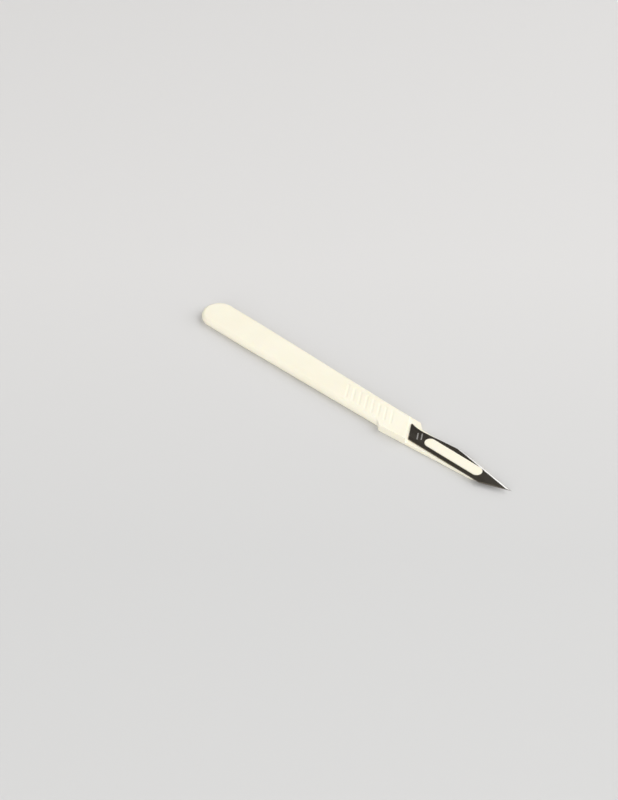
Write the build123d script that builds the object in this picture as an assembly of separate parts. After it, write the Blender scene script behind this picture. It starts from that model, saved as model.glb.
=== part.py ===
from build123d import *
import os
from math import atan2, degrees, hypot

# Disposable scalpel: one moulded plastic handle with a steel blade seated on its tongue.
# It lies on its back face, blade side up. X runs from the butt to the tip, Y to the
# cutting edge's side, Z up. Lengths are millimetres, and x is counted from the butt.

# Whole scalpel
overall_length = 150.0

# Handle body
handle_thickness = 3.2
butt_width = 13.2
neck_width = 10.6
parallel_length = 24.0
side_round = 1.4

# Head and tongue
shoulder_setback = 8.65
shoulder_run = 1.6
shoulder_width = 6.45
ledge_thickness = 1.5
wall_draft_run = 0.85
ear_width = 6.15
ear_reach = 2.1
ear_slant_run = 2.9
ear_corner_round = 1.0
tongue_edge_width = 3.65
tongue_tip_width = 3.5
tongue_tip_sagitta = 2.1
tongue_end_margin = 0.15
tongue_corner_round = 0.9
back_edge_round = 0.45
shoulder_edge_round = 0.3

# Blade
blade_length = 48.25
blade_sheet = 0.4
spine_offset = 3.83
tip_offset = 0.6
tang_offset = 3.48
tang_slant = 4.85
tang_corner_round = 0.25
waist_reach = 7.25
waist_offset = 2.7
heel_setback = 23.8
heel_offset = 4.6
clip_setback = 11.1
bevel_width = 1.02
edge_land = 0.03

# Slot in the blade and the boss that fills it
slot_reach = 9.87
slot_setback = 12.98
slot_width = 4.35
slot_offset = -0.13
boss_rise = 0.3
boss_edge_round = 0.15

# Clearances of the blade in the handle
tang_clearance = 0.12
slot_clearance = 0.05

# Grip grooves on both faces
front_grooves = 8
back_grooves = 6
groove_pitch = 3.07
groove_length = 8.0
groove_width = 1.1
groove_depth = 0.16
groove_setback = 6.25
groove_offset = -0.3

# Gate recess on the back face, beyond the last groove there
gate_gap = 3.75
gate_offset = 1.2
gate_diameter = 1.4
gate_depth = 0.25

tip_x = overall_length
tang_x = tip_x - blade_length
shoulder_x = tang_x - shoulder_setback
slot_end_x = tip_x - slot_setback
slot_length = blade_length - slot_reach - slot_setback
slot_middle_x = slot_end_x - slot_length / 2
tongue_end_x = slot_end_x + tongue_end_margin
tongue_corner_x = tongue_end_x - tongue_tip_sagitta
blade_z = ledge_thickness
beyond = 2 * butt_width
same_place = 0.01


def body_half_width(x):
    """Half width of the tapering body at x."""
    slope = (butt_width - neck_width) / 2 / (shoulder_x - parallel_length)
    return butt_width / 2 - slope * (x - parallel_length)


def rim_edges(solid, z, keep):
    """Edges that lie flat at height z and whose middle passes the test keep."""
    flat = [e for e in solid.edges() if abs(e.center().Z - z) < same_place]
    return ShapeList(e for e in flat if keep(e.center()))


def upright_edges(solid, corners):
    """Upright edges at the given x, y corners of an outline."""
    upright = solid.edges().filter_by(Axis.Z)
    return ShapeList(
        e for e in upright for x, y in corners if hypot(e.center().X - x, e.center().Y - y) < same_place
    )


def body():
    """Flat bar with a round butt, parallel grip and straight taper, rounded all round its sides."""
    half = butt_width / 2
    end_x = tang_x
    end_half = body_half_width(end_x)
    outline = Polyline(
        (half, half),
        (parallel_length, half),
        (end_x, end_half),
        (end_x, -end_half),
        (parallel_length, -half),
        (half, -half),
    )
    butt = ThreePointArc((half, -half), (0, 0), (half, half))
    blank = extrude(make_face(Curve() + [outline, butt]), handle_thickness)
    for z in (0, handle_thickness):
        blank = fillet(rim_edges(blank, z, lambda c: c.X < end_x - side_round), side_round)
    return blank


def shoulder_ramp(width, side):
    """The ramp's foot inside the body and its top at the given half width, on side +1 or -1."""
    rise = width - body_half_width(shoulder_x)
    run_in = side_round * shoulder_run / rise
    foot = (shoulder_x - run_in, side * (body_half_width(shoulder_x) - side_round))
    return foot, (shoulder_x + shoulder_run, side * width)


def spine_side():
    """Corner points of the spine's shoulder and of the long taper to the tongue's tip."""
    foot, shoulder = shoulder_ramp(shoulder_width, -1)
    return foot, shoulder, (tongue_corner_x, -tongue_tip_width)


def ledge_plate():
    """Low plate under the blade: both shoulders, the ear and the round-tipped tongue."""
    foot, shoulder, spine_corner = spine_side()
    ear_foot, ear_shoulder = shoulder_ramp(ear_width, 1)
    ear_corner = (tang_x + ear_reach, ear_width)
    edge_corner = (tongue_corner_x, tongue_tip_width)
    sides = Polyline(
        edge_corner,
        (ear_corner[0] + ear_slant_run, tongue_edge_width),
        ear_corner,
        ear_shoulder,
        ear_foot,
        foot,
        shoulder,
        spine_corner,
    )
    tip = ThreePointArc(spine_corner, (tongue_end_x, 0), edge_corner)
    blank = extrude(make_face(Curve() + [sides, tip]), ledge_thickness)
    blank = fillet(upright_edges(blank, [ear_corner]), ear_corner_round)
    blank = fillet(upright_edges(blank, [spine_corner, edge_corner]), tongue_corner_round)
    return fillet(rim_edges(blank, 0, lambda c: c.X > foot[0] + same_place), back_edge_round)


def head_block():
    """Full-height block over the plate on the spine's side, up to the end of the slanted tang."""
    foot, shoulder, spine_corner = spine_side()
    end_x = tang_x + tang_slant
    slope = (spine_corner[1] - shoulder[1]) / (spine_corner[0] - shoulder[0])
    end = (end_x, shoulder[1] + slope * (end_x - shoulder[0]))
    edge_side = body_half_width(end_x) - side_round
    outline = Polyline(foot, shoulder, end, (end_x, edge_side), (foot[0], edge_side), close=True)
    height = handle_thickness - back_edge_round
    blank = Pos(0, 0, back_edge_round) * extrude(make_face(outline), height)
    spine_rims = rim_edges(blank, handle_thickness, lambda c: c.Y < -edge_side)
    return fillet(spine_rims, shoulder_edge_round)


def pocket():
    """Space above the ledge for the blade, with a sloped wall along the slanted tang."""
    tang = Vector(tang_slant, -(tang_offset + spine_offset))
    across = Plane(origin=(tang_x, tang_offset, 0), x_dir=(-tang.Y, tang.X, 0), z_dir=(tang.X, tang.Y, 0))
    top = handle_thickness + side_round
    lean = wall_draft_run / (handle_thickness - ledge_thickness)
    wall_foot = -tang_clearance
    wall_top = wall_foot - lean * (top - ledge_thickness)
    section = Polyline(
        (wall_foot, ledge_thickness),
        (wall_top, top),
        (overall_length, top),
        (overall_length, ledge_thickness),
        close=True,
    )
    return extrude(across * make_face(section), beyond, both=True)


def slot_shape(clearance, height):
    """Round-ended bar of the blade's slot, made smaller all round by the clearance."""
    flat = SlotOverall(slot_length - 2 * clearance, slot_width - 2 * clearance)
    return Pos(slot_middle_x, slot_offset, blade_z) * extrude(flat, height)


def boss():
    """Boss on the tongue that fills the slot and stands a little above the blade."""
    blank = slot_shape(slot_clearance, blade_sheet + boss_rise)
    return fillet(blank.faces().sort_by(Axis.Z)[-1].edges(), boss_edge_round)


def groove(x, face_z, outward):
    """Shallow round-bottomed groove that runs parallel to the slanted tang."""
    radius = (groove_width**2 / 4 + groove_depth**2) / (2 * groove_depth)
    lean = degrees(atan2(tang_slant, tang_offset + spine_offset))
    bar = Rot(90, 0, 0) * Cylinder(radius, groove_length - groove_width)
    ends = [Pos(0, s * (groove_length - groove_width) / 2, 0) * Sphere(radius) for s in (-1, 1)]
    height = face_z + outward * (radius - groove_depth)
    return Pos(x, groove_offset, height) * Rot(0, 0, lean) * (bar + ends)


def groove_x(i):
    """Middle of a groove, counted back from the head."""
    return tang_x - groove_setback - groove_pitch * i


def grooves():
    """Grip grooves of both faces. The back has fewer, and its gate recess comes after them."""
    front = [groove(groove_x(i), handle_thickness, 1) for i in range(front_grooves)]
    back = [groove(groove_x(i), 0, -1) for i in range(back_grooves)]
    return front + back


def gate_recess():
    """Small round recess where the moulding was fed, on the back face."""
    x = groove_x(back_grooves - 1) - gate_gap
    return Pos(x, gate_offset, gate_depth / 2) * Cylinder(gate_diameter / 2, gate_depth)


def handle():
    """The whole moulding as one solid."""
    shape = body() + ledge_plate() + head_block()
    shape = shape - pocket()
    shape = shape + boss()
    shape = shape - grooves()
    return shape - gate_recess()


def blade_outline():
    """Flat outline of the blade: slanted tang, hollow waist, heel, straight edge, tip, clip and spine."""
    tang_top = (tang_x, tang_offset)
    waist = (tang_x + waist_reach, waist_offset)
    heel = (tip_x - heel_setback, heel_offset)
    tip = (tip_x, tip_offset)
    clip = (tip_x - clip_setback, -spine_offset)
    tang_foot = (tang_x + tang_slant, -spine_offset)
    rise = (waist[0] - heel[0], waist[1] - heel[1])
    hollow = TangentArc(waist, tang_top, tangent=rise)
    rest = Polyline(tang_top, tang_foot, clip, tip, heel, waist)
    flat = make_face(Curve() + [hollow, rest])
    tang_corners = ShapeList(flat.vertices().sort_by_distance(c)[0] for c in (tang_top, tang_foot))
    return fillet(tang_corners, tang_corner_round)


def edge_wedge(side):
    """Wedge that grinds one face's bevel off along the cutting edge, side +1 for the top face."""
    heel = Vector(tip_x - heel_setback, heel_offset)
    tip = Vector(tip_x, tip_offset)
    run = tip - heel
    middle_z = blade_z + blade_sheet / 2
    face_z = middle_z + side * blade_sheet / 2
    edge_z = middle_z + side * edge_land / 2
    across = Plane(
        origin=(heel.X, heel.Y, 0),
        x_dir=(-run.Y, run.X, 0),
        z_dir=(run.X, run.Y, 0),
    )
    over = bevel_width
    slope = (edge_z - face_z) / bevel_width
    section = Polyline(
        (-bevel_width, face_z),
        (over, edge_z + slope * over),
        (over, face_z + side * over),
        (-bevel_width, face_z + side * over),
        close=True,
    )
    return extrude(across * make_face(section), beyond + run.length, both=True)


def blade():
    """The steel blade, with its slot and both ground bevels."""
    sheet = Pos(0, 0, blade_z) * extrude(blade_outline(), blade_sheet)
    sheet = sheet - slot_shape(0, blade_sheet)
    return sheet - edge_wedge(1) - edge_wedge(-1)


os.makedirs("parts", exist_ok=True)
centred = Pos(-overall_length / 2, 0, 0)
export_step(centred * handle(), "parts/handle.step")
export_step(centred * blade(), "parts/blade.step")
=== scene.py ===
import math

import bmesh
import bpy
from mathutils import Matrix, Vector


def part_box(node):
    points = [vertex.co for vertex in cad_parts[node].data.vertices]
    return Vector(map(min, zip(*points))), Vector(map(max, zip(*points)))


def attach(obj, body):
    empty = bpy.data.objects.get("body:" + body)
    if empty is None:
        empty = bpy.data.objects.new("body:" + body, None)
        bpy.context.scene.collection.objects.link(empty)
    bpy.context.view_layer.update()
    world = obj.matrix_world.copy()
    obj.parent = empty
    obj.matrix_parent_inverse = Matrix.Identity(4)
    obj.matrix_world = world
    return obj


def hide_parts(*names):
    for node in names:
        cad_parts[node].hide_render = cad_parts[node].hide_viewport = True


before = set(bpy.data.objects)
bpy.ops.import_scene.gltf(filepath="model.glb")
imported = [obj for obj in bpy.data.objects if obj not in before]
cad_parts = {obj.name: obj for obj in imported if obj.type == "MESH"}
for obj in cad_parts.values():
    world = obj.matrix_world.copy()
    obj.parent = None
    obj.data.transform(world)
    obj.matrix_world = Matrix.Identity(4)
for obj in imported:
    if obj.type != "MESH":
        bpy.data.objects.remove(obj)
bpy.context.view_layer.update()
print("frame loaded:", sorted(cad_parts))

# Pieces are modelled in millimetres and brought to metres at the end.
mm = 0.001
near = 0.002  # how close two places must be to count as one
mergeReach = near / 10  # corners closer than this become one
cornerReach = 0.03  # how close to a corner's place its upright edge must be
level = 0.99  # a face counts as level or square to an axis when its normal reaches this
beyond = 128.0  # well past every side; a power of two, so that cuts at one height agree exactly

handleLow, handleHigh = [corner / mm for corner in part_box("handle")]
bladeLow, bladeHigh = [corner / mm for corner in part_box("blade")]

# The slanted tang, where the blade's end meets the pocket's wall. Both pieces are set out from it.
tang = {
    "setback": 48.25,  # from the blade's tip back to the tang's upper corner
    "slant": 4.85,  # how far its foot lies ahead of that corner
    "top": 3.48,
    "foot": bladeLow.y,
}
tang["x"] = bladeHigh.x - tang["setback"]
tang["along"] = Vector((tang["slant"], tang["foot"] - tang["top"], 0)).normalized()
tang["outward"] = Vector((-tang["along"].y, tang["along"].x, 0))  # from the wall to the blade
tang["angle"] = math.atan2(tang["along"].y, tang["along"].x)

# The long slot in the blade, filled by the boss on the handle.
slot = {
    "start": tang["x"] + 9.87,
    "end": bladeHigh.x - 12.98,
    "width": 4.35,
    "offset": -0.13,
    "roundSteps": 96,
}


def stopEditing():
    if bpy.context.object and bpy.context.object.mode == "EDIT":
        bpy.ops.object.mode_set(mode="OBJECT")


def chooseOnly(piece):
    stopEditing()
    bpy.ops.object.select_all(action="DESELECT")
    piece.select_set(True)
    bpy.context.view_layer.objects.active = piece


def startEditing(piece):
    chooseOnly(piece)
    bpy.ops.object.mode_set(mode="EDIT")


def newPiece(name, addShape, **sizes):
    stopEditing()
    bpy.ops.object.select_all(action="DESELECT")
    addShape(**sizes)
    piece = bpy.context.object
    piece.name = piece.data.name = name
    bpy.ops.object.transform_apply(location=True, rotation=True, scale=True)
    startEditing(piece)
    return piece


def newDisc(name, steps, radius, height, middle, turn=0):
    return newPiece(
        name, bpy.ops.mesh.primitive_cylinder_add, vertices=steps, radius=radius, depth=height,
        end_fill_type="NGON", location=middle, rotation=(0, 0, turn),
    )


def newBlock(name, middle, size):
    return newPiece(name, bpy.ops.mesh.primitive_cube_add, size=1, location=middle, scale=size)


def pick(piece, kind, test, measure=None):
    # selects only the corners, edges or faces that pass the test, and gives a measure of each
    bpy.ops.mesh.select_mode(type=kind)
    bpy.ops.mesh.select_all(action="DESELECT")
    mesh = bmesh.from_edit_mesh(piece.data)
    mesh.normal_update()
    items = {"VERT": mesh.verts, "EDGE": mesh.edges, "FACE": mesh.faces}[kind]
    found = [item for item in items if test(item)]
    for item in found:
        item.select_set(True)
    bmesh.update_edit_mesh(piece.data)
    return [measure(item) for item in found] if measure else []


def middleOf(edge):
    return (edge.verts[0].co + edge.verts[1].co) / 2


def cutAway(place, outward):
    # takes off all that lies beyond a plane and closes the cut
    bpy.ops.mesh.select_all(action="SELECT")
    bpy.ops.mesh.bisect(
        plane_co=place, plane_no=Vector(outward).normalized(), use_fill=True, clear_outer=True,
        threshold=mergeReach,
    )


def pullFaces(piece, test, step):
    pick(piece, "FACE", test)
    move = {"value": step, "orient_type": "GLOBAL"}
    bpy.ops.mesh.extrude_region_move(TRANSFORM_OT_translate=move)


def slideCorners(piece, test, step):
    pick(piece, "VERT", test)
    bpy.ops.transform.translate(value=step, orient_type="GLOBAL")


def bevelPicked(width, steps):
    bpy.ops.mesh.bevel(
        offset=width, offset_type="OFFSET", segments=steps, profile=0.5, clamp_overlap=False
    )


def roundEdges(piece, test, rounding):
    # the setback for the radius comes from how far the first edge turns
    radius, steps = rounding
    turns = pick(piece, "EDGE", test, lambda e: e.calc_face_angle())
    if not turns:
        raise RuntimeError(f"{piece.name}: no edge to round")
    bevelPicked(radius * math.tan(turns[0] / 2), steps)


def isUpright(edge, x, y):
    a, b = edge.verts
    upright = (a.co - b.co).xy.length < near
    return upright and (middleOf(edge).xy - Vector((x, y))).length < cornerReach


def isRim(edge, up, keep=lambda side: True):
    # an outer edge between a level face, up +1 or down -1, and an upright one that passes keep
    flat = [f for f in edge.link_faces if f.normal.z * up > level]
    upright = [f for f in edge.link_faces if abs(f.normal.z) < 1 - level]
    return len(flat) == 1 and len(upright) == 1 and edge.is_convex and keep(upright[0])


def combine(piece, other, operation):
    chooseOnly(piece)
    bpy.ops.object.modifier_add(type="BOOLEAN")
    modifier = piece.modifiers[-1]
    modifier.operation = operation
    modifier.solver = "EXACT"
    modifier.object = other
    bpy.ops.object.modifier_apply(modifier=modifier.name)
    bpy.data.objects.remove(other)


def roundEndedBar(name, start, end, width, low, high):
    # a disc with flats at its ends and sides, whose far half is moved along to make a bar
    radius = width / 2
    turn = math.pi / slot["roundSteps"]
    middle = (start + radius, slot["offset"], (low + high) / 2)
    bar = newDisc(name, slot["roundSteps"], radius / math.cos(turn), high - low, middle, turn)
    slideCorners(bar, lambda v: v.co.x > start + radius, (end - start - width, 0, 0))
    return bar


# The handle. A half is half a width, and a round is a radius and its number of steps.
handleShape = {
    "buttSteps": 144,
    "parallelLength": 24.0,  # from the butt's end to the start of the taper
    "neckHalf": 5.3,
    "neckSetback": 8.65,  # from the tang's upper corner back to the neck
    "sideRadius": 1.4,
    "sideSteps": 9,
    "shoulderRun": 1.6,
    "shoulderHalf": 6.45,
    "shoulderRound": (0.5, 5),
    "earHalf": 6.15,
    "earReach": 2.1,
    "earSlant": 2.9,
    "earRound": (1.0, 5),
    "tongueEdgeHalf": 3.65,
    "tongueTipHalf": 3.5,
    "tongueTipSagitta": 2.1,  # how far the round tip reaches past its corners
    "tongueTipSteps": 56,
    "tongueCornerRound": (0.8, 5),
    "backRimRound": (0.45, 5),
    "headRimRound": (0.3, 4),
    "ledgeRimRound": (0.12, 2),
    "rimStart": 0.4,  # from the tang's foot to where the tongue's round rim starts
    "wallGap": 0.12,
    "wallLean": 0.5,  # millimetres back for each one up
    "ridgeBevel": (0.16, 3),
    "bossGap": 0.05,
    "bossRise": 0.3,
    "bossRimRound": (0.15, 4),
    "smoothAngle": 30,
}


def neckHalfAt(x):
    # half width of the tapering bar
    start = handleLow.x + handleShape["parallelLength"]
    neckX = tang["x"] - handleShape["neckSetback"]
    slope = (handleHigh.y - handleShape["neckHalf"]) / (neckX - start)
    return handleHigh.y - slope * (x - start)


def makeGripBar():
    # half a disc for the butt, pulled out to the tang
    h = handleShape
    half, thick = handleHigh.y, handleHigh.z
    roundX = handleLow.x + half
    parallelX = handleLow.x + h["parallelLength"]
    bar = newDisc("gripBar", h["buttSteps"], half, thick, (roundX, 0, thick / 2))
    cutAway((roundX, 0, 0), (1, 0, 0))
    for length in (parallelX - roundX, tang["x"] - parallelX):
        pullFaces(bar, lambda f: f.normal.x > level, (length, 0, 0))
    bpy.ops.transform.resize(value=(1, neckHalfAt(tang["x"]) / half, 1), orient_type="GLOBAL")
    sideRound = (h["sideRadius"], h["sideSteps"])
    for up in (1, -1):
        roundEdges(bar, lambda e: isRim(e, up, lambda f: f.normal.x < level), sideRound)
    return bar


def shoulderFoot(half, side):
    # where a shoulder's ramp starts, inside the bar's rounded side
    h = handleShape
    runIn = h["sideRadius"] * h["shoulderRun"] / (half - h["neckHalf"])
    return Vector((tang["x"] - h["neckSetback"] - runIn, side * (h["neckHalf"] - h["sideRadius"])))


def spineLine():
    # foot and top of the spine's shoulder ramp, and the start of the tongue's round tip
    h = handleShape
    top = Vector((tang["x"] - h["neckSetback"] + h["shoulderRun"], -h["shoulderHalf"]))
    tip = Vector((handleHigh.x - h["tongueTipSagitta"], -h["tongueTipHalf"]))
    return shoulderFoot(h["shoulderHalf"], -1), top, tip


def spineAt(x):
    top, tip = spineLine()[1:]
    return top.y + (tip.y - top.y) * (x - top.x) / (tip.x - top.x)


def cutterBlock(name, corner, size):
    corner, size = Vector(corner), Vector(size)
    return newBlock(name, corner + size / 2, size)


def makeHead():
    # the tongue's round tip, pulled back in steps to the ear and the shoulders, at full height
    h = handleShape
    straightWithin = math.radians(1)
    spineTurn = -0.3  # a side is on the spine when its normal turns this far towards it

    def cornersAt(x, side):
        return lambda v: abs(v.co.x - x) < near and v.co.y * side > 0

    foot, top, tip = spineLine()
    half, sagitta = h["tongueTipHalf"], h["tongueTipSagitta"]
    radius = (half ** 2 + sagitta ** 2) / (2 * sagitta)
    middle = (handleHigh.x - radius, 0, handleHigh.z / 2)
    head = newDisc("head", h["tongueTipSteps"], radius, handleHigh.z, middle)
    cutAway((tip.x, 0, 0), (-1, 0, 0))
    earX = tang["x"] + h["earReach"]
    rootX = earX + h["earSlant"]
    steps = [
        (rootX, h["tongueEdgeHalf"], -spineAt(rootX)),
        (earX, h["earHalf"], -spineAt(earX)),
        (top.x, h["earHalf"], -top.y),
        (foot.x, -foot.y, -foot.y),
    ]
    lastX, lastEdge, lastSpine = tip.x, half, half
    for x, edge, spine in steps:
        pullFaces(head, lambda f: f.normal.x < -level, (x - lastX, 0, 0))
        slideCorners(head, cornersAt(x, 1), (0, edge - lastEdge, 0))
        slideCorners(head, cornersAt(x, -1), (0, lastSpine - spine, 0))
        lastX, lastEdge, lastSpine = x, edge, spine
    earFoot = shoulderFoot(h["earHalf"], 1)
    slideCorners(head, cornersAt(foot.x, 1), (earFoot.x - foot.x, 0, 0))
    bpy.ops.mesh.select_all(action="SELECT")
    bpy.ops.mesh.dissolve_limited(angle_limit=straightWithin)
    corners = [
        (earX, h["earHalf"], h["earRound"]),
        (top.x, -h["shoulderHalf"], h["shoulderRound"]),
        (top.x, h["earHalf"], h["shoulderRound"]),
        (tip.x, half, h["tongueCornerRound"]),
        (tip.x, -half, h["tongueCornerRound"]),
    ]
    for x, y, rounding in corners:
        roundEdges(head, lambda e: isUpright(e, x, y), rounding)
    roundEdges(head, lambda e: isRim(e, -1, lambda f: f.normal.x > -level), h["backRimRound"])
    roundEdges(head, lambda e: isRim(e, 1, lambda f: f.normal.y < spineTurn), h["headRimRound"])

    # the ear and the tongue are brought down to the ledge
    # a line across marks where the round rim starts
    endX = tang["x"] + tang["slant"]
    flatHalf = neckHalfAt(endX) - h["sideRadius"]
    bpy.ops.mesh.select_all(action="SELECT")
    bpy.ops.mesh.bisect(
        plane_co=(endX + h["rimStart"], 0, 0), plane_no=(1, 0, 0), threshold=mergeReach
    )
    reach = (beyond, beyond, beyond)
    tongueCutter = cutterBlock("tongueCutter", (endX, -beyond / 2, bladeLow.z), reach)
    combine(head, tongueCutter, "DIFFERENCE")
    combine(head, cutterBlock("earCutter", (0, flatHalf, bladeLow.z), reach), "DIFFERENCE")
    return head


def cutPocket(handle):
    # the space above the ledge for the blade, with the leaning wall behind its tang
    h = handleShape
    outward = (tang["outward"] + Vector((0, 0, h["wallLean"]))).normalized()
    place = Vector((tang["x"], tang["top"], bladeLow.z)) - tang["outward"] * h["wallGap"]
    corner = (tang["x"] - beyond / 2, -beyond / 2, bladeLow.z)
    pocket = cutterBlock("pocketCutter", corner, (2 * beyond, beyond, beyond))
    cutAway(place, -outward)
    combine(handle, pocket, "DIFFERENCE")
    return outward


def makeBoss():
    # it stands up through the blade's slot from halfway down the tongue
    h = handleShape
    gap = h["bossGap"]
    boss = roundEndedBar(
        "boss", slot["start"] + gap, slot["end"] - gap, slot["width"] - 2 * gap,
        bladeLow.z / 2, bladeHigh.z + h["bossRise"],
    )
    roundEdges(boss, lambda e: isRim(e, 1), h["bossRimRound"])
    return boss


def mergeLevelFaces(piece):
    # level faces that lie side by side after the unions become one
    quiteLevel = 0.99999
    flatWithin = math.radians(0.1)
    startEditing(piece)
    pick(piece, "FACE", lambda f: abs(f.normal.z) > quiteLevel)
    bpy.ops.mesh.dissolve_limited(angle_limit=flatWithin)
    stopEditing()


def roundPocket(handle, outward):
    # the ridge along the wall's top, and the rims of the ear and the tongue
    h = handleShape
    flatWithin = math.radians(2)
    straightHeight = handleHigh.z - h["sideRadius"]
    rimX = tang["x"] + tang["slant"] + h["rimStart"]

    def onRidge(edge):
        walls = [f for f in edge.link_faces if f.normal.dot(outward) > level]
        onWall = len(walls) == 1 and middleOf(edge).x < rimX
        return onWall and min(v.co.z for v in edge.verts) > straightHeight - near

    def onLedge(edge):
        middle = middleOf(edge)
        atLedge = abs(middle.z - bladeLow.z) < near
        return isRim(edge, 1) and atLedge and (middle.y > 0 or middle.x > rimX)

    def isWarped(face):
        first = face.verts[0].co
        return max(abs((v.co - first).dot(face.normal)) for v in face.verts) > near

    startEditing(handle)
    pick(handle, "EDGE", onRidge)
    bevelPicked(*h["ridgeBevel"])
    roundEdges(handle, onLedge, h["ledgeRimRound"])
    pick(handle, "FACE", isWarped)
    bpy.ops.mesh.vert_connect_nonplanar(angle_limit=flatWithin)
    stopEditing()


# The slanted grip grooves, with round ends and soft slopes.
grooves = {
    "front": 8,
    "back": 6,
    "pitch": 3.07,
    "setback": 6.25,  # from the tang's upper corner back to the first one's middle
    "offset": -0.3,
    "length": 7.96,
    "width": 1.46,
    "floorWidth": 0.14,
    "depth": 0.09,
    "lift": 0.002,  # how far the slope runs on above the face
    "slopeSteps": 8,
    "roundSteps": 24,
}


def grooveX(i):
    # middle of a groove, counted back from the head
    return tang["x"] - grooves["setback"] - grooves["pitch"] * i


def grooveRing(step):
    # half width and height of the slope at a step, from the groove's floor to just above its rim
    g = grooves
    share = step / g["slopeSteps"]
    width = g["floorWidth"] + (g["width"] - g["floorWidth"]) * share
    return width / 2, (g["depth"] + g["lift"]) * share * share * (3 - 2 * share)


def makeGrooveCutter(z, up, count):
    # one round-ended bar that flares in a soft slope, and a copy for each further groove
    g = grooves
    rings = [grooveRing(step) for step in range(g["slopeSteps"] + 1)]
    floorRadius = rings[0][0]
    radius, rise = rings[1]
    ends = (floorRadius, radius) if up > 0 else (radius, floorRadius)
    first = Vector((grooveX(0), g["offset"], z - up * (g["depth"] - rise / 2)))
    cutter = newPiece(
        "grooveCutter", bpy.ops.mesh.primitive_cone_add, vertices=g["roundSteps"],
        radius1=ends[0], radius2=ends[1], depth=rise, end_fill_type="NGON", location=first,
        rotation=(0, 0, tang["angle"] + math.pi / g["roundSteps"]),
    )
    for nextRadius, nextRise in rings[2:]:
        pullFaces(cutter, lambda f: f.normal.z * up > level, (0, 0, up * (nextRise - rise)))
        flare = nextRadius / radius
        bpy.ops.transform.resize(value=(flare, flare, 1), orient_type="GLOBAL")
        radius, rise = nextRadius, nextRise
    pullFaces(cutter, lambda f: f.normal.z * up > level, (0, 0, up * g["depth"]))
    along = tang["along"]
    half = (g["length"] - g["width"]) / 2
    for side in (1, -1):
        slideCorners(cutter, lambda v: (v.co - first).dot(along) * side > 0, along * side * half)
    copies = []
    for i in range(1, count):
        chooseOnly(cutter)
        bpy.ops.object.duplicate(linked=False)
        bpy.ops.transform.translate(value=(-g["pitch"] * i, 0, 0), orient_type="GLOBAL")
        copies.append(bpy.context.object)
    chooseOnly(cutter)
    for copy in copies:
        copy.select_set(True)
    bpy.ops.object.join()
    bpy.ops.object.transform_apply(location=True, rotation=True, scale=True)
    return cutter


# The round mark that the mould's gate left on the back, behind the last groove.
gateMark = {
    "gap": 3.75,
    "offset": 1.2,
    "diameter": 1.4,
    "depth": 0.25,
    "rimRound": (0.06, 2),
    "steps": 48,
}


def cutGateMark(handle):
    g = gateMark
    place = Vector((grooveX(grooves["back"] - 1) - g["gap"], g["offset"]))
    gate = newDisc("gateCutter", g["steps"], g["diameter"] / 2, 2 * g["depth"], (*place, 0))
    combine(handle, gate, "DIFFERENCE")

    def onGate(edge):
        return isRim(edge, -1) and (middleOf(edge).xy - place).length < g["diameter"]

    startEditing(handle)
    roundEdges(handle, onGate, g["rimRound"])
    stopEditing()


def makeHandle():
    handle = makeGripBar()
    combine(handle, makeHead(), "UNION")
    print("handle: bar and head joined")
    wallOutward = cutPocket(handle)
    combine(handle, makeBoss(), "UNION")
    mergeLevelFaces(handle)
    roundPocket(handle, wallOutward)
    print("handle: pocket and boss made")
    for z, up, count in ((handleHigh.z, 1, grooves["front"]), (0, -1, grooves["back"])):
        combine(handle, makeGrooveCutter(z, up, count), "DIFFERENCE")
        print("handle:", count, "grooves cut")
    cutGateMark(handle)
    handle.name = handle.data.name = "mouldedHandle"
    return handle


# The blade. Places along it are counted from the tang's upper corner or back from the tip.
bladeShape = {
    "waistReach": 7.25,
    "waist": 2.7,
    "heelSetback": 23.8,
    "heel": 4.6,
    "clipSetback": 11.1,
    "tip": 0.6,
    "tangRound": (0.25, 4),
    "grindWidth": 1.02,
    "edgeLand": 0.03,  # thickness left along the cutting edge
    "stampedRim": (0.03, 1),
    "hollowSteps": 100,
    "hollowReach": 1.1,  # length of the hollow's straight cut, in runs from waist to heel
    "overshoot": 1.0,  # how far a cutter reaches past the sheet
    "smoothAngle": 20,
}
sheetMiddle = (bladeLow.z + bladeHigh.z) / 2
tangTop = Vector((tang["x"], tang["top"], 0))
tangFoot = Vector((tang["x"] + tang["slant"], tang["foot"], 0))
waist = Vector((tang["x"] + bladeShape["waistReach"], bladeShape["waist"], 0))
heel = Vector((bladeHigh.x - bladeShape["heelSetback"], bladeShape["heel"], 0))
tip = Vector((bladeHigh.x, bladeShape["tip"], 0))
clip = Vector((bladeHigh.x - bladeShape["clipSetback"], bladeLow.y, 0))

# The cutting edge runs from the heel to the tip. The grind starts this far inside it.
edgeAlong = (tip - heel).normalized()
edgeOutward = Vector((-edgeAlong.y, edgeAlong.x, 0))
grindStart = heel - edgeOutward * bladeShape["grindWidth"]


def makeSheet():
    # the blade's straight sides, cut from a flat bar
    backX = tang["x"] - tang["slant"]
    middle = ((backX + tip.x) / 2, (clip.y + heel.y) / 2, sheetMiddle)
    size = (tip.x - backX, heel.y - clip.y, bladeHigh.z - bladeLow.z)
    sheet = newBlock("bladeSheet", middle, size)
    cutAway(tangTop, -tang["outward"])
    for a, b in ((clip, tip), (tip, heel)):
        cutAway(a, ((b - a).y, -(b - a).x, 0))
    return sheet


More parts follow.
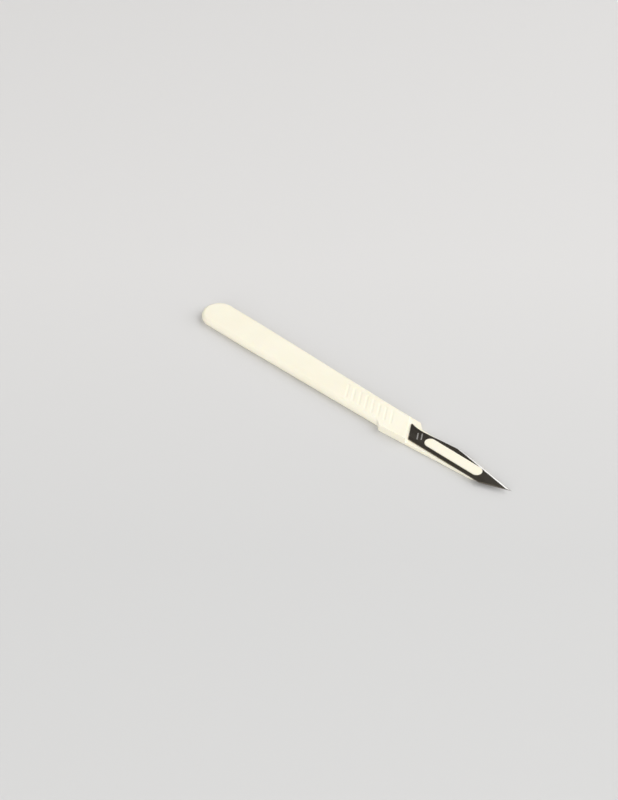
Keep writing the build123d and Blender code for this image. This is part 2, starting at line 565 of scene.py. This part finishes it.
def cutHollow(sheet):
    # half a disc behind the waist, drawn out along the straight run to the heel
    b = bladeShape
    run = (heel - waist).normalized()
    inward = Vector((-run.y, run.x, 0))
    toTang = tangTop - waist
    radius = toTang.length_squared / (2 * toTang.dot(inward))
    centre = waist + inward * radius
    hollow = newDisc(
        "hollowCutter", b["hollowSteps"], radius, 2 * b["overshoot"],
        centre + Vector((0, 0, sheetMiddle)), math.atan2(run.y, run.x),
    )
    cutAway(centre, run)
    drawOut = run * (heel - waist).length * b["hollowReach"]
    pullFaces(hollow, lambda f: f.normal.dot(run) > level, drawOut)
    combine(sheet, hollow, "DIFFERENCE")


def cutSlot(sheet):
    over = bladeShape["overshoot"]
    cutter = roundEndedBar(
        "slotCutter", slot["start"], slot["end"], slot["width"],
        bladeLow.z - over, bladeHigh.z + over,
    )
    combine(sheet, cutter, "DIFFERENCE")


def grindEdge():
    # both faces of the blade that is being edited are ground down to the cutting edge
    b = bladeShape
    drop = (bladeHigh.z - bladeLow.z - b["edgeLand"]) / 2
    for side, faceZ in ((1, bladeHigh.z), (-1, bladeLow.z)):
        start = Vector((*grindStart.xy, faceZ))
        cutAway(start, edgeOutward * drop + Vector((0, 0, side * b["grindWidth"])))
    bpy.ops.mesh.select_all(action="SELECT")
    bpy.ops.mesh.remove_doubles(threshold=mergeReach)
    stopEditing()


def makeBlade():
    b = bladeShape
    sheet = makeSheet()
    cutHollow(sheet)
    startEditing(sheet)
    for corner in (tangTop, tangFoot):
        roundEdges(sheet, lambda e: isUpright(e, corner.x, corner.y), b["tangRound"])
    cutSlot(sheet)
    print("blade: outline and slot cut")
    startEditing(sheet)
    for up in (1, -1):
        roundEdges(sheet, lambda e: isRim(e, up), b["stampedRim"])
    grindEdge()
    print("blade: rims stamped and edge ground")
    sheet.name = sheet.data.name = "steelBlade"
    return sheet


def finishPiece(piece, smoothAngle):
    chooseOnly(piece)
    piece.scale = (mm, mm, mm)
    bpy.ops.object.transform_apply(location=True, rotation=True, scale=True)
    bpy.ops.object.shade_smooth_by_angle(angle=math.radians(smoothAngle), keep_sharp_edges=False)
    bpy.ops.object.modifier_add(type="WEIGHTED_NORMAL")
    piece.modifiers[-1].keep_sharp = True
    bpy.ops.object.modifier_apply(modifier=piece.modifiers[-1].name)


# Looks. Scales are in waves for each metre, depths in metres, and a range is where a noise
# starts and stops to turn dark into light.
plasticLook = {
    "dark": (0.92, 0.87, 0.71),
    "light": (0.94, 0.895, 0.745),
    "cloudScale": 70,
    "cloudDetail": 3,
    "cloudRange": (0.35, 0.65),
    "roughness": (0.46, 0.36),
    "grainScale": 2600,
    "grainDetail": 4,
    "grainRange": (0.3, 0.7),
    "grainStrength": 0.12,
    "grainDepth": 0.00002,
    "translucency": 0.15,
    "reach": (1.0, 0.75, 0.4),  # millimetres that red, green and blue light spread inside
}

# The blade's faces: the steel's colour is painted dark, a painted dark reflection, with faint
# grind lines and an etched mark.
faceLook = {
    "dark": (0.145, 0.127, 0.102),
    "light": (0.18, 0.161, 0.132),
    "lineScale": 900,
    "lineDetail": 5,
    "lineRange": (0.3, 0.7),
    "stretch": (0.06, 1, 1),
    "turn": 0,
    "roughness": (0.24, 0.17),
    "lineStrength": 0.03,
    "lineDepth": 0.000004,
    "mark": {
        "place": (33.7, -0.1, 0),  # its middle, from the frame's origin
        "length": 3.4,
        "width": 0.45,
        "gap": 1.5,
        "colour": (0.5, 0.485, 0.46),
        "roughness": 0.55,
    },
}

# The ground bevel: the steel's colour is painted near white, a painted highlight, with faint grind
# lines.
edgeLook = {
    "levelness": (0.97, 0.995),  # between these the normals of the ground faces lie
    "dark": (0.84, 0.83, 0.81),
    "light": (0.93, 0.92, 0.9),
    "lineScale": 1400,
    "lineDetail": 5,
    "lineRange": (0.3, 0.7),
    "stretch": (1, 0.05, 1),
    "turn": math.radians(9.5),
    "roughness": (0.34, 0.28),
    "lineStrength": 0.02,
    "lineDepth": 0.000005,
    # the outer part of the bevel is painted darker, a painted dark reflection
    "band": {"colour": (0.5, 0.48, 0.46), "roughness": 0.3, "range": (0.62, 0.7)},
}


def newMaterial(name):
    material = bpy.data.materials.new(name)
    material.use_nodes = True
    nodes = material.node_tree.nodes
    return material, nodes, material.node_tree.links, nodes["Principled BSDF"]


def mappedOn(nodes, links, shift=(0, 0, 0), turn=0, scale=(1, 1, 1), kind="POINT"):
    # the object's own coordinates in metres, shifted, turned and scaled
    coordinates = nodes.new("ShaderNodeTexCoord")
    mapping = nodes.new("ShaderNodeMapping")
    mapping.vector_type = kind
    mapping.inputs["Location"].default_value = shift
    mapping.inputs["Rotation"].default_value = (0, 0, turn)
    mapping.inputs["Scale"].default_value = scale
    links.new(coordinates.outputs["Object"], mapping.inputs["Vector"])
    return mapping.outputs["Vector"]


def noiseOn(nodes, links, scale, detail, stretch=(1, 1, 1), turn=0):
    # noise that is drawn out along an axis by a small stretch there
    noise = nodes.new("ShaderNodeTexNoise")
    noise.inputs["Scale"].default_value = scale
    noise.inputs["Detail"].default_value = detail
    links.new(mappedOn(nodes, links, turn=turn, scale=stretch), noise.inputs["Vector"])
    return noise.outputs["Fac"]


def rampOn(nodes, links, source, colours, limits):
    # turns a source between the two limits into a colour between the two colours
    ramp = nodes.new("ShaderNodeValToRGB")
    for element, position, colour in zip(ramp.color_ramp.elements, limits, colours):
        element.position = position
        element.color = (*colour, 1)
    links.new(source, ramp.inputs["Fac"])
    return ramp.outputs["Color"]


def roughnessOn(nodes, links, source, values, limits):
    rough, smooth = [(value,) * 3 for value in values]
    return rampOn(nodes, links, source, (smooth, rough), limits)


def bumpOn(nodes, links, source, shader, strength, distance):
    bump = nodes.new("ShaderNodeBump")
    bump.inputs["Strength"].default_value = strength
    bump.inputs["Distance"].default_value = distance
    links.new(source, bump.inputs["Height"])
    links.new(bump.outputs["Normal"], shader.inputs["Normal"])


def mixOn(nodes, links, mask, source, colour):
    mix = nodes.new("ShaderNodeMix")
    mix.data_type = "RGBA"
    sockets = {s.identifier: s for s in mix.inputs}
    links.new(mask, sockets["Factor_Float"])
    links.new(source, sockets["A_Color"])
    sockets["B_Color"].default_value = (*colour, 1)
    return {s.identifier: s for s in mix.outputs}["Result_Color"]


def placedOn(nodes, links, place, angle, units):
    # coordinates counted from a place and turned, with each axis in its own unit
    axes = nodes.new("ShaderNodeSeparateXYZ")
    mapped = mappedOn(nodes, links, place * mm, angle, units * mm, "TEXTURE")
    links.new(mapped, axes.inputs["Vector"])
    return axes.outputs


def paintedDarkEdgeMask(nodes, links, band):
    # the outer part of the ground bevel, along the cutting edge, painted darker: a painted dark
    # reflection
    units = Vector((1, bladeShape["grindWidth"], 1))
    angle = math.atan2(edgeAlong.y, edgeAlong.x)
    across = placedOn(nodes, links, grindStart, angle, units)["Y"]
    return rampOn(nodes, links, across, ((0, 0, 0), (1, 1, 1)), band["range"])


def markMask(nodes, links, mark):
    # two short plain bars etched side by side, parallel to the slanted tang
    def formula(operation, a, b):
        node = nodes.new("ShaderNodeMath")
        node.operation = operation
        for socket, value in zip(node.inputs, (a, b)):
            if isinstance(value, (int, float)):
                socket.default_value = value
            else:
                links.new(value, socket)
        return node.outputs["Value"]

    axes = placedOn(nodes, links, Vector(mark["place"]), tang["angle"], Vector((1, 1, 1)))
    along = formula("ABSOLUTE", axes["X"], 0)
    across = formula("ABSOLUTE", axes["Y"], 0)
    fromBar = formula("ABSOLUTE", formula("SUBTRACT", across, mark["gap"] / 2), 0)
    onBar = formula("LESS_THAN", fromBar, mark["width"] / 2)
    onLength = formula("LESS_THAN", along, mark["length"] / 2)
    return formula("MULTIPLY", onBar, onLength)


def creamPlastic():
    material, nodes, links, shader = newMaterial("creamPlastic")
    p = plasticLook
    cloud = noiseOn(nodes, links, p["cloudScale"], p["cloudDetail"])
    colour = rampOn(nodes, links, cloud, (p["dark"], p["light"]), p["cloudRange"])
    grain = noiseOn(nodes, links, p["grainScale"], p["grainDetail"])
    roughness = roughnessOn(nodes, links, grain, p["roughness"], p["grainRange"])
    links.new(colour, shader.inputs["Base Color"])
    links.new(roughness, shader.inputs["Roughness"])
    bumpOn(nodes, links, grain, shader, p["grainStrength"], p["grainDepth"])
    shader.inputs["Subsurface Weight"].default_value = p["translucency"]
    shader.inputs["Subsurface Radius"].default_value = p["reach"]
    shader.inputs["Subsurface Scale"].default_value = mm
    return material


def steel(name, look):
    material, nodes, links, shader = newMaterial(name)
    shader.inputs["Metallic"].default_value = 1
    lines = noiseOn(
        nodes, links, look["lineScale"], look["lineDetail"], look["stretch"], look["turn"]
    )
    colour = rampOn(nodes, links, lines, (look["dark"], look["light"]), look["lineRange"])
    roughness = roughnessOn(nodes, links, lines, look["roughness"], look["lineRange"])
    for key, makeMask in (("mark", markMask), ("band", paintedDarkEdgeMask)):
        if key in look:
            patch = look[key]
            mask = makeMask(nodes, links, patch)
            colour = mixOn(nodes, links, mask, colour, patch["colour"])
            roughness = mixOn(nodes, links, mask, roughness, (patch["roughness"],) * 3)
    links.new(colour, shader.inputs["Base Color"])
    links.new(roughness, shader.inputs["Roughness"])
    bumpOn(nodes, links, lines, shader, look["lineStrength"], look["lineDepth"])
    return material


def giveMaterial(piece, material, test):
    startEditing(piece)
    bpy.ops.object.material_slot_add()
    piece.material_slots[-1].material = material
    pick(piece, "FACE", test)
    bpy.ops.object.material_slot_assign()
    stopEditing()


def isGround(face):
    low, high = edgeLook["levelness"]
    return low < abs(face.normal.z) < high


handle = makeHandle()
finishPiece(handle, handleShape["smoothAngle"])
giveMaterial(handle, creamPlastic(), lambda f: True)
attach(handle, "root")
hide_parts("handle")
print("handle:", len(handle.data.polygons), "faces")

blade = makeBlade()
finishPiece(blade, bladeShape["smoothAngle"])
# the faces get steel painted dark, a painted dark reflection; the ground bevel gets the same steel
# painted near white
giveMaterial(blade, steel("faceSteelPaintedDark", faceLook), lambda f: True)
# the ground bevel: steel painted near white, a painted highlight
giveMaterial(blade, steel("bevelSteelPaintedBright", edgeLook), isGround)
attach(blade, "root")
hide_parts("blade")
print("blade:", len(blade.data.polygons), "faces")

# The floor is painted a little paler away from the camera, a painted fall of light.
floorLook = {
    "size": 6,
    "colours": ((0.63, 0.627, 0.62), (0.7, 0.69, 0.68)),
    "range": (0.42, 0.58),
    "shift": (0.5, 0, 0),
    "turn": math.radians(-134),
    "roughness": 0.9,
}


def paleFloor():
    material, nodes, links, shader = newMaterial("paleFloor")
    f = floorLook
    gradient = nodes.new("ShaderNodeTexGradient")
    links.new(mappedOn(nodes, links, f["shift"], f["turn"]), gradient.inputs["Vector"])
    colour = rampOn(nodes, links, gradient.outputs["Fac"], f["colours"], f["range"])
    links.new(colour, shader.inputs["Base Color"])
    shader.inputs["Roughness"].default_value = f["roughness"]
    return material


bpy.ops.object.select_all(action="DESELECT")
bpy.ops.mesh.primitive_plane_add(size=floorLook["size"])
floor = bpy.context.object
floor.name = "floor"
floor.data.materials.append(paleFloor())
print("floor laid")

# The camera's place and aim are in millimetres, like its lens.
view = {
    "aim": Vector((-12.73, -8.40, -3.2)),
    "direction": Vector((-0.5241, 0.5513, -0.6492)).normalized(),
    "distance": 701.41,
    "lens": 85.81,
    "sensorWidth": 36,
    "nearest": 10,
}


def turnTo(item, direction):
    item.rotation_euler = direction.to_track_quat("-Z", "Y").to_euler()


cameraData = bpy.data.cameras.new("camera")
cameraData.lens = view["lens"]
cameraData.sensor_width = view["sensorWidth"]
cameraData.clip_start = view["nearest"] * mm
camera = bpy.data.objects.new("camera", cameraData)
camera.location = (view["aim"] - view["direction"] * view["distance"]) * mm
turnTo(camera, view["direction"])
bpy.context.scene.collection.objects.link(camera)
bpy.context.scene.camera = camera
print("camera placed")

worldLight = {"colour": (1, 1, 1, 1), "strength": 0.22}
world = bpy.data.worlds.new("studio")
bpy.context.scene.world = world
world.use_nodes = True
background = world.node_tree.nodes["Background"]
background.inputs["Color"].default_value = worldLight["colour"]
background.inputs["Strength"].default_value = worldLight["strength"]

# Soft boxes: where each shines from, its distance and side in metres, and its brightness.
softBoxes = {
    "farRight": {"from": (0.6, 0.46, 0.65), "distance": 3.0, "size": 3.5, "brightness": 2.63},
    "nearSide": {"from": (0.22, -0.8, 0.56), "distance": 3.0, "size": 3.3, "brightness": 2.2},
    "lowBehind": {"from": (-0.46, 0.79, 0.4), "distance": 3.0, "size": 0.9, "brightness": 2.0},
}
for name, box in softBoxes.items():
    light = bpy.data.lights.new(name, "AREA")
    light.size = box["size"]
    light.energy = box["brightness"] * math.pi * box["size"] ** 2
    lamp = bpy.data.objects.new(name, light)
    lamp.location = Vector(box["from"]).normalized() * box["distance"]
    turnTo(lamp, -lamp.location)
    bpy.context.scene.collection.objects.link(lamp)
print("lights set:", len(softBoxes))

bpy.context.scene.view_settings.view_transform = "Standard"
